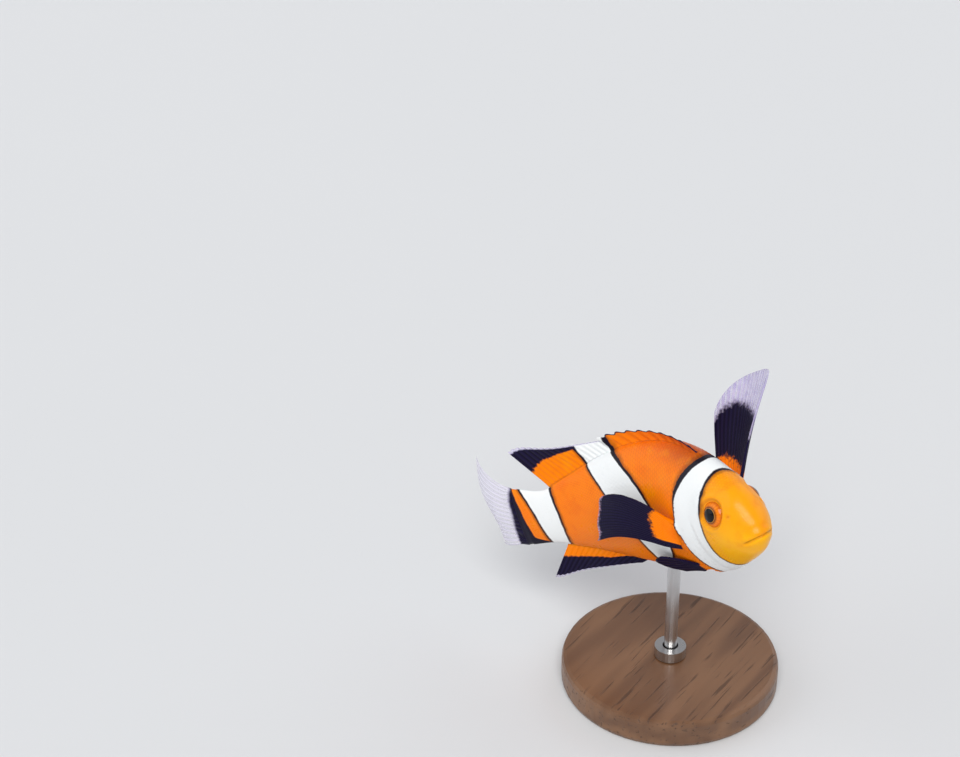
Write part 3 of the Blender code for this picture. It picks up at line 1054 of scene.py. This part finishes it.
# Each bar's front and rear edge is a + b t + c t t, with t from -1 at the belly to 1 at the back and a c of
# its own above and below mid height. "lines" are the widths of its two black borders, and "wider" is what
# they gain towards the back.
bars = {
    "head": {
        "front": (0.174, 0.003, -0.017, -0.033), "rear": (0.293, -0.006, -0.076, -0.076),
        "lines": (0.0034, 0.005), "wider": (0.004, 0.012),
    },
    "middle": {
        "front": (0.432, 0.12, 0.055, 0.2), "rear": (0.59, 0.11, 0.003, 0.035),
        "lines": (0.0092, 0.005), "wider": (0.005, 0.001),
    },
    "stalk": {
        "front": (0.848, 0.008, 0.013, 0.013), "rear": (0.933, 0.021, 0.021, 0.001),
        "lines": (0.0068, 0.0062), "wider": (0.001, 0),
    },
}
wobble = {"size": 0.005, "scale": 420, "fine": 0.0022, "fineScale": 1500}
# The bands of the fins, as shares of the way out to the margin.
bands = {
    "softDorsal": (0.77, 0.35, 0.3, 1.3),  # height of the orange, its fall, where the fall starts, its curve
    "anal": (0.36, 0.12, 0.45),  # height of the orange, and where along the fin it starts and is full
    "tail": (0.98, 0.02, 0.045),  # where the black starts at mid height, later at the back, sooner below
    "tailRim": (0.21, -0.17),  # at the tail fin's lower edge, and how it changes up to the upper edge
    # right, then left: at the upper edge, and its change to the lower
    "pectoral": ((0.33, -0.045), (0.27, 0.3)),
    "pectoralRim": ((0.968, 0), (0.56, 0.35)),
    "pectoralEdge": (0.835, 0.875),
    "pelvic": (0.1, 0.16),
    "middleRim": (0.925, 0.965),
    "barLean": 0.03,  # on the back fin the bars lean less than the rays do
}
onFin = 0.02  # a spot further out than this is on a fin


def edgePlace(t, edge):
    base, slope, above, below = edge
    high = t.math("MAXIMUM", 0)
    low = t.math("MINIMUM", 0)
    return base + slope * t + above * high * high + below * low * low


def sideLimit(pairs, way, across):
    # the right fin's limit where way is -1, the left fin's where it is 1
    (right, rightChange), (left, leftChange) = pairs
    start = (left + right) / 2 + way * ((left - right) / 2)
    change = (leftChange + rightChange) / 2 + way * ((leftChange - rightChange) / 2)
    return start + change * across


def shareAlong(fin, place):
    return (place - fin["start"]) * (1 / (fin["end"] - fin["start"]))


# In the functions below s holds the values of one spot of the fish.
def fleshColour(s):
    # orange, yellower on the face and redder along the back, with painted shade darkening the top of the
    # nape behind the first bar
    red = rise(s.t, 0.7, 1) * rise(s.place, 0.1, 0.24) * rise(s.place, 0.62, 0.35) * 0.55
    return painted(
        "orange",
        (rise(s.place, 0.27, 0.13), mixed(rise(s.t, 0.55, -0.25), "face", "chin")),
        (most(red, rise(s.backOut, 0, 0.5) * rise(s.place, 0.56, 0.3) * 0.8), "nape"),
        # painted shade: the top of the nape behind the first bar darkens towards umber
        (rise(s.t, 0.74, 1) * rise(s.place, 0.43, 0.28) * rise(s.place, 0.2, 0.24) * 0.32, "umber"),
        (rise(s.mottle, 0.52, 0.75) * 0.22, "nape"),
        (rise(s.mottle, 0.48, 0.25) * 0.3, "face"),
    )


def finBlack(s):
    top, fall, start, curve = bands["softDorsal"]
    drop = (shareAlong(softFin, s.place) - start) * (1 / (1 - start))
    drop = drop.math("MAXIMUM", 0).math("POWER", curve)
    limit = top - fall * drop + (s.fine - 0.5) * 0.1
    soft = rise(s.place, 0.592, 0.6) * rise(s.backOut, 0, 0.05)
    back = rise(s.backOut, limit - 0.03, limit + 0.03) * soft
    spiny = rise(s.backOut, 0.9, 0.97) * (1 - soft)
    top, start, full = bands["anal"]
    limit = rise(shareAlong(analFin, s.place), start, full) * top + (s.fine - 0.5) * 0.08
    anal = rise(s.analOut, limit - 0.03, limit + 0.04) * rise(s.analOut, 0, 0.02)
    start, slope, wrap = bands["tail"]
    at = s.at - slope * s.t + wrap * rise(s.t, -0.68, -0.98)
    tail = most(rise(at, start, start + 0.005), rise(s.tailOut, 0.001, 0.01))
    tail = tail * (1 - (s.backOut + s.analOut).math("GREATER_THAN", onFin))
    limit = sideLimit(bands["pectoral"], s.way, s.along * s.along)
    low, high = bands["pectoralEdge"]
    # 1 at the left fin's upper edge and the right fin's lower one
    edge = 0.5 - s.way * (s.along - 0.5) + s.waver * 4
    edge = rise(edge, low + 0.05 * s.way, high + 0.05 * s.way) * rise(s.pectoralOut, 0.05, 0.12)
    pectoral = most(rise(s.wing, limit - 0.02, limit + 0.03), edge)
    return most(back, spiny, anal, tail, pectoral, rise(s.pelvicOut, *bands["pelvic"]))


def barMasks(s):
    # the white, its black borders, and the brown that fades out from them
    whites, borders, fringes = [], [], []
    upper = rise(s.t, 0.05, 0.75)
    uneven = 0.65 + 0.7 * s.coarse
    for bar in bars.values():
        front = edgePlace(s.t, bar["front"])
        rear = edgePlace(s.t, bar["rear"])
        whites.append(rise(s.at, front - 0.001, front + 0.003) * rise(s.at, rear + 0.001, rear - 0.003))
        ahead, behind = ((line + more * upper) * uneven for line, more in zip(bar["lines"], bar["wider"]))
        border = rise(s.at, front - ahead - 0.002, front - ahead + 0.001)
        borders.append(border * rise(s.at, rear + behind + 0.002, rear + behind - 0.001))
        fringe = rise(s.at, front - 2.2 * ahead - 0.004, front - ahead)
        fringes.append(fringe * rise(s.at, rear + 2.2 * behind + 0.004, rear + behind))
    beyond = (s.pectoralOut + s.pelvicOut + s.tailOut).math("GREATER_THAN", onFin)
    rearFins = (s.backOut + s.analOut).math("GREATER_THAN", onFin) * rise(s.place, 0.8, 0.81)
    plain = 1 - most(beyond, rearFins)
    return most(*whites) * plain, most(*borders) * plain, most(*fringes) * plain


def napeSpots(tree, s):
    # small black spots behind the first bar
    rear = edgePlace(s.t, bars["head"]["rear"])
    spots = rise(noise(tree, 900, 0), 0.6, 0.66)
    spots = spots * rise(s.at, rear + 0.026, rear + 0.004) * rise(s.at, rear - 0.002, rear + 0.002)
    return spots * rise(s.t, 0.15, 0.75) * 0.9


def margins(tree, s, rays):
    # the clear rims of the fins, and their colour
    low, change = bands["tailRim"]
    limit = low + s.phase * (change / tailFin["rays"]) + (s.coarse - 0.5) * 0.05
    tail = rise(s.tailOut, limit - 0.03, limit + 0.06) * rise(s.tailOut, 0, 0.01)
    start = sideLimit(bands["pectoralRim"], s.way, s.along)
    wing = rise(s.wing, start - 0.02, start + 0.05)
    middle = rise(most(s.backOut, s.analOut), *bands["middleRim"]) * rise(s.place, 0.594, 0.602)
    tinge = 0.3 + rise(noise(tree, 700), 0.4, 0.65) * 0.45
    pale = (most(rays * 0.5, tail * 0.7), "rimWhite")
    return most(tail, wing, middle), painted("lilac", pale, (tinge * wing * (1 - rays * 0.4), "violet"))


def markingsGroup():
    inputs = dict.fromkeys(("Lie", "Reach", "Paired", "Ray"), "Vector")
    outputs = {"Color": "Color"}
    outputs.update(dict.fromkeys(("White", "Dark", "Rim", "Rays", "Roughness", "Relief"), "Float"))
    tree, given, leave = newGroup("fishMarkings", inputs, outputs)
    s = SimpleNamespace()
    s.place, s.t = parts(given["Lie"])[:2]
    s.backOut, s.analOut, s.tailOut = parts(given["Reach"])
    s.pectoralOut, s.pelvicOut, s.way = parts(given["Paired"])
    s.phase, s.along, creaseShade = parts(given["Ray"])
    s.coarse = noise(tree, wobble["scale"], 1)
    s.fine = noise(tree, wobble["fineScale"], 2)
    s.mottle = noise(tree, 260, 3)
    s.waver = wobble["size"] * (s.coarse - 0.5) + wobble["fine"] * (s.fine - 0.5)
    s.at = s.place + s.waver + bands["barLean"] * s.backOut
    s.wing = s.pectoralOut + (s.fine - 0.5) * 0.1
    middleOut = s.backOut + s.analOut + s.tailOut + s.pectoralOut
    fin = (middleOut + s.pelvicOut).math("GREATER_THAN", onFin)
    rays = ((s.phase * math.tau).math("COSINE") * 0.5 + 0.5) * fin

    dark = finBlack(s)
    white, borders, fringe = barMasks(s)
    rim, rimColour = margins(tree, s, rays)
    colour = painted(
        fleshColour(s),
        # painted shade in the creases and hollows of the head
        (creaseShade * 0.62, "umber"),
        (fringe * 0.55, "umber"),
        (most(borders, napeSpots(tree, s)), mixed(rise(s.t, -0.4, 0.5), "umber", "black")),
        (dark * (1 - white), mixed(rays * 0.28 + 0.07, "finBlack", "rayBlue")),
        (white, mixed(rise(s.fine, 0.55, 0.8) * 0.25, "white", "coolWhite")),
        (rim, rimColour),
    )
    roughness = 0.33 + (s.mottle - 0.5) * 0.2 + creaseShade * 0.2 + fin * 0.06
    relief = rays * 0.5 + waves(middleOut, 190) * rays * 0.18 + noise(tree, 5200) * 0.16 - creaseShade * 0.2
    for label, wire in zip(outputs, (colour, white, dark, rim, rays, roughness, relief)):
        feed(leave.inputs[label], wire)
    return tree


fishMarkings = markingsGroup()
finishes = {
    "moistSkin": {
        "Coat Weight": 0.1, "Coat Roughness": 0.12, "Specular IOR Level": 0.18,
        "Subsurface Weight": 0.06, "Subsurface Scale": 0.0012,
    },
    "finMembrane": {"Coat Weight": 0.02, "Coat Roughness": 0.2, "Specular IOR Level": 0.07},
    "overlappingScales": {"Coat Weight": 0.1, "Coat Roughness": 0.1, "Specular IOR Level": 0.18},
    "wetEye": {
        "Coat Weight": 1, "Coat Roughness": 0.02, "Coat IOR": 1.34,
        "Roughness": 0.5, "Specular IOR Level": 0,
    },
    "oiledWalnut": {"Coat Weight": 0.2, "Coat Roughness": 0.25},
    "polishedRod": {"Metallic": 1},
    "turnedCollar": {"Metallic": 1},
    "paleFloor": {"Roughness": 0.9},
}


def newMaterial(name):
    material = bpy.data.materials.new(name)
    material.use_nodes = True
    shader = material.node_tree.nodes["Principled BSDF"]
    for label, value in finishes[name].items():
        shader.inputs[label].default_value = value
    return material, material.node_tree, shader


def finish(shader, colour, roughness, relief, depth):
    # depth is the relief's height in metres
    node = shader.id_data.nodes.new("ShaderNodeBump")
    node.inputs["Distance"].default_value = depth
    feed(node.inputs["Height"], relief)
    feed(shader.inputs["Base Color"], colour)
    feed(shader.inputs["Roughness"], roughness)
    feed(shader.inputs["Normal"], Wire(node.outputs[0]))


def markingsIn(tree, *labels):
    return useGroup(tree, fishMarkings, {label: attributeOf(tree, label.lower()) for label in labels})


def fleshMaterial(name, depth, clearMargin):
    material, tree, shader = newMaterial(name)
    marks = markingsIn(tree, "Lie", "Reach", "Paired", "Ray")
    finish(shader, marks["Color"], marks["Roughness"], marks["Relief"], depth)
    if clearMargin:
        feed(shader.inputs["Alpha"], 1 - marks["Rim"] * (0.84 - 0.42 * marks["Rays"]))
    return material


def coatMaterial():
    material, tree, shader = newMaterial("overlappingScales")
    marks = markingsIn(tree, "Lie", "Ray")
    share, shade = parts(attributeOf(tree, "plate"))[::2]
    tint = rise(shade, 0.35, 1) * (1 - marks["White"]) * 0.14
    edge = rise(share, 0.86, 1) * (1 - marks["White"]) * 0.3
    colour = mixed(tint, marks["Color"], "scaleTint", "MULTIPLY")
    colour = mixed(edge, colour, "scaleEdge", "MULTIPLY")
    roughness = marks["Roughness"] + (shade - 0.5) * 0.1 + marks["Dark"] * 0.25
    finish(shader, colour, roughness, marks["Relief"] + waves(share, 44) * 0.25, 0.00004)
    return material


def eyeMaterial():
    material, tree, shader = newMaterial("wetEye")
    gaze = attributeOf(tree, "gaze")
    away, around = parts(gaze)[:2]
    streaks = waves(around, 23) * 0.35 + noise(tree, 1, 3, (0, 9, 0), gaze) * 0.65
    pupil, iris = eye["pupil"], eye["iris"]
    gold = rise(away, pupil - 0.0006, pupil + 0.0004) * rise(away, pupil + 0.0022, pupil + 0.0012)
    colour = painted(
        "irisOrange",
        (streaks, "irisRust"),
        (rise(away, pupil + 0.0095, pupil + 0.001), "irisBrown"),
        (rise(away, iris - 0.004, iris + 0.003) * 0.6, "irisRim"),
        (gold * 0.55, "gold"),
        (rise(away, pupil + 0.0006, pupil - 0.0006), "pupil"),
    )
    feed(shader.inputs["Base Color"], colour)
    return material


def walnutMaterial():
    material, tree, shader = newMaterial("oiledWalnut")
    figure = noise(tree, 38, 4, (1, 0.1, 1))
    grain = noise(tree, 420, 3, (1, 0.045, 1))
    rings = waves(figure, 62) * 0.55 + grain * 0.45
    pores = rise(noise(tree, 1600, 2, (1, 0.05, 1)), 0.6, 0.7)
    dark = (rise(figure, 0.55, 0.7) * 0.5, "walnutFigure")
    colour = painted("walnutDark", (rings, "walnutPale"), dark, (pores * 0.55, "walnutPore"))
    finish(shader, colour, 0.38 + rings * 0.14 + pores * 0.2, rings * 0.4 - pores, 0.00006)
    return material


def steelMaterial(name, stretch, tone, shade):
    material, tree, shader = newMaterial(name)
    brushed = noise(tree, 2600, 2, stretch)
    worn = rise(noise(tree, 150, 3), 0.5, 0.8)
    finish(shader, mixed(brushed, tone, shade), 0.22 + brushed * 0.14 + worn * 0.12, brushed, 0.000012)
    return material


def floorMaterial():
    material, tree, shader = newMaterial("paleFloor")
    feed(shader.inputs["Base Color"], mixed(noise(tree, 3, 3), "floorDark", "floorPale"))
    return material


def dress(item, *materials):
    item.data.materials.clear()
    for material in materials:
        item.data.materials.append(material)


def finFaces(mesh):
    # the faces whose corners all lie out on a fin
    reach = readValues(mesh.attributes["reach"].data, "vector", kind=np.float32)
    paired = readValues(mesh.attributes["paired"].data, "vector", kind=np.float32)
    outside = np.maximum(reach.max(axis=1), paired[:, :2].max(axis=1))
    corners = readValues(mesh.loops, "vertex_index", 1, np.int32)
    starts = readValues(mesh.polygons, "loop_start", 1, np.int32)
    return np.minimum.reduceat(outside[corners], starts) > 0.015


dress(skin, fleshMaterial("moistSkin", 0.00008, False), fleshMaterial("finMembrane", 0.0001, True))
skin.data.polygons.foreach_set("material_index", finFaces(skin.data).astype(np.int32))
scales = coatMaterial()
for name in coat["parts"]:
    dress(bpy.data.objects[name], scales)
wetEye = eyeMaterial()
for item in eyes:
    dress(item, wetEye)
for node, material in (
    ("stand_base", walnutMaterial()),
    ("stand_rod", steelMaterial("polishedRod", (1, 1, 0.04), "rodSteel", "rodShade")),
    ("stand_collar", steelMaterial("turnedCollar", (0.05, 0.05, 1), "collarSteel", "collarShade")),
):
    for slot in bpy.data.objects[node].material_slots:
        slot.material = material
print("materials made")

stage = {
    "floorSize": 30,
    "skyStrength": 0.4,
    "aim": (0, 0, 0.04),  # what the lamps point at
}
camera = {
    "place": (0.18495, -0.34447, 0.30981), "turn": 0.59174, "tilt": 0.54887, "lens": 90.37,
    "sensor": 36,
}
lamps = {
    "keyLight": {"place": (0.35, -0.6, 0.8), "spread": 0.6, "power": 2.05, "colour": (1, 0.985, 0.96)},
    "fillLight": {"place": (-0.7, -0.45, 0.5), "spread": 1, "power": 0.66, "colour": (0.94, 0.97, 1)},
    "backLight": {"place": (0.2, 0.8, 0.6), "spread": 1, "power": 0.55, "colour": (0.97, 0.98, 1)},
}


def placeItem(name, data, place, turns):
    item = bpy.data.objects.new(name, data)
    item.location = place
    item.rotation_euler = turns
    bpy.context.scene.collection.objects.link(item)
    return item


def placeCamera():
    view = bpy.data.cameras.new("camera")
    view.lens = camera["lens"]
    view.sensor_width = camera["sensor"]
    view.clip_start = 0.01
    turns = (math.pi / 2 - camera["tilt"], 0, camera["turn"])
    bpy.context.scene.camera = placeItem("camera", view, camera["place"], turns)


def placeLamp(name, lamp):
    light = bpy.data.lights.new(name, "SUN")
    light.energy = lamp["power"]
    light.angle = lamp["spread"]
    light.color = lamp["colour"]
    aim = Vector(stage["aim"]) - Vector(lamp["place"])
    placeItem(name, light, lamp["place"], aim.to_track_quat("-Z", "Y").to_euler())


placeCamera()
deselectAll()
bpy.ops.mesh.primitive_plane_add(size=stage["floorSize"])
floor = bpy.context.object
floor.name = "floor"
dress(floor, floorMaterial())
for name, lamp in lamps.items():
    placeLamp(name, lamp)
world = bpy.data.worlds.new("studio")
bpy.context.scene.world = world
world.use_nodes = True
sky = world.node_tree.nodes["Background"]
feed(sky.inputs["Color"], "sky")
feed(sky.inputs["Strength"], stage["skyStrength"])
bpy.context.scene.view_settings.view_transform = "Standard"
print("stage set")
